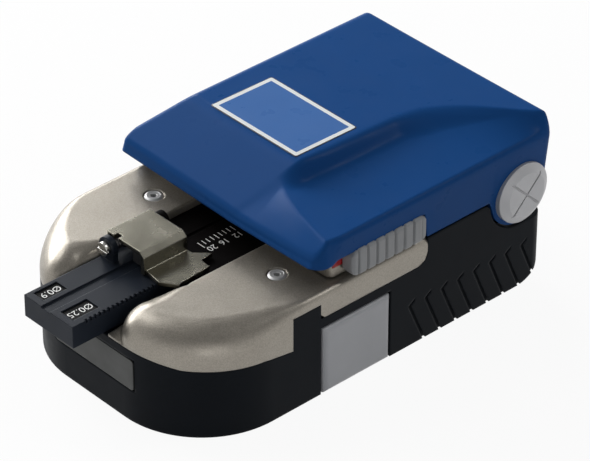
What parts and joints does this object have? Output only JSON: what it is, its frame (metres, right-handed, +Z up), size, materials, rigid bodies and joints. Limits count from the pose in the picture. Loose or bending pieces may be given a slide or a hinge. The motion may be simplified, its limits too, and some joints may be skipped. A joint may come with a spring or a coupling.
{
  "type": "optical fibre cleaver",
  "caption": "Hand-held optical fibre cleaver: hinged lid, sliding lock, sprung fibre clamp with length scale, blade wheel on a sliding carriage, offcut drawer.",
  "frame": {"origin": "centre of the body's footprint, on the plane that the rubber sole stands on", "axes": "+Z up, +Y along the fibre from the guide tongue towards the lid hinge, +X to the right, the side with the sliding lock"},
  "size_m": [0.059, 0.0965, 0.0373],
  "materials": {
    "blue_lacquer": "metallic blue lacquer, semi-gloss",
    "champagne_lacquer": "champagne metallic lacquer with fine sparkle",
    "black_plastic": "moulded black plastic, satin",
    "black_anodised": "black anodised, satin",
    "grey_plastic": "light grey moulded plastic",
    "panel_grey": "grey moulded blank panel",
    "label_enamel": "printed blue plate with a white border, blank",
    "insert_black": "black plate with white figures",
    "red_mark": "red indicator",
    "nickel_steel": "nickel-plated, finely brushed",
    "ground_steel": "ground steel",
    "carbide": "ground carbide",
    "spring_steel": "dark drawn wire",
    "bronze": "sintered bronze",
    "rubber": "moulded rubber"
  },
  "bodies": {
    "base": {"lower_shell": "black_plastic", "top_shell": "champagne_lacquer", "rubber_sole": "rubber", "deck_screws": "nickel_steel", "base_screws": "nickel_steel", "nose_panel": "panel_grey", "chassis": "ground_steel", "rear_apron": "black_plastic", "guide_rods": "ground_steel", "lower_clamp_front": "ground_steel", "lower_clamp_rear": "ground_steel", "lower_pads": "rubber", "scale_bed": "black_anodised", "fibre_guide": "black_anodised", "size_inserts": "insert_black", "clamp_pin": "nickel_steel", "lid_spring": "spring_steel", "clamp_spring": "spring_steel", "hinge_pin": "ground_steel", "hinge_cap_left": "grey_plastic", "hinge_cap_right": "grey_plastic", "strike_post": "ground_steel"},
    "lid": {"cover": "blue_lacquer", "lid_frame": "champagne_lacquer", "label_plate": "label_enamel", "red_mark": "red_mark", "anvil": "ground_steel", "upper_clamps": "ground_steel", "upper_pads": "rubber", "lid_screws": "nickel_steel", "hinge_bushes": "bronze", "lid_magnet": "ground_steel"},
    "lock": {"lock_slider": "grey_plastic"},
    "fibre_clamp": {"clamp_plate": "nickel_steel", "clamp_knuckle": "black_plastic", "clamp_pad": "rubber"},
    "carriage": {"carriage_block": "black_anodised", "carriage_bushes": "bronze", "blade_axle": "ground_steel"},
    "blade": {"blade_wheel": "carbide", "blade_hub": "ground_steel"},
    "drawer": {"drawer_front": "grey_plastic", "drawer_tray": "black_plastic"}
  },
  "joints": [
    {"name": "lid_hinge", "type": "hinge", "parent": "base", "child": "lid", "pos_m": [0, 0.0372, 0.0222], "axis": [-1, 0, 0], "range_deg": [0, 75]},
    {"name": "lock_slide", "type": "slide", "parent": "lid", "child": "lock", "axis": [0, -1, 0], "range_m": [0, 0.0026]},
    {"name": "clamp_hinge", "type": "hinge", "parent": "base", "child": "fibre_clamp", "pos_m": [-0.009, 0, 0.0235], "axis": [0, -1, 0], "range_deg": [0, 80]},
    {"name": "carriage_slide", "type": "slide", "parent": "base", "child": "carriage", "axis": [-1, 0, 0], "range_m": [0, 0.0201]},
    {"name": "blade_spin", "type": "hinge", "parent": "carriage", "child": "blade", "pos_m": [0.0085, 0.0023, 0.0148], "axis": [0, 1, 0], "continuous": true},
    {"name": "drawer_slide", "type": "slide", "parent": "base", "child": "drawer", "axis": [1, 0, 0], "range_m": [0, 0.03]}
  ],
  "couplings": [
    {"joint": "carriage_slide", "follows": "lid_hinge", "m_per_rad": 0.01527}
  ]
}
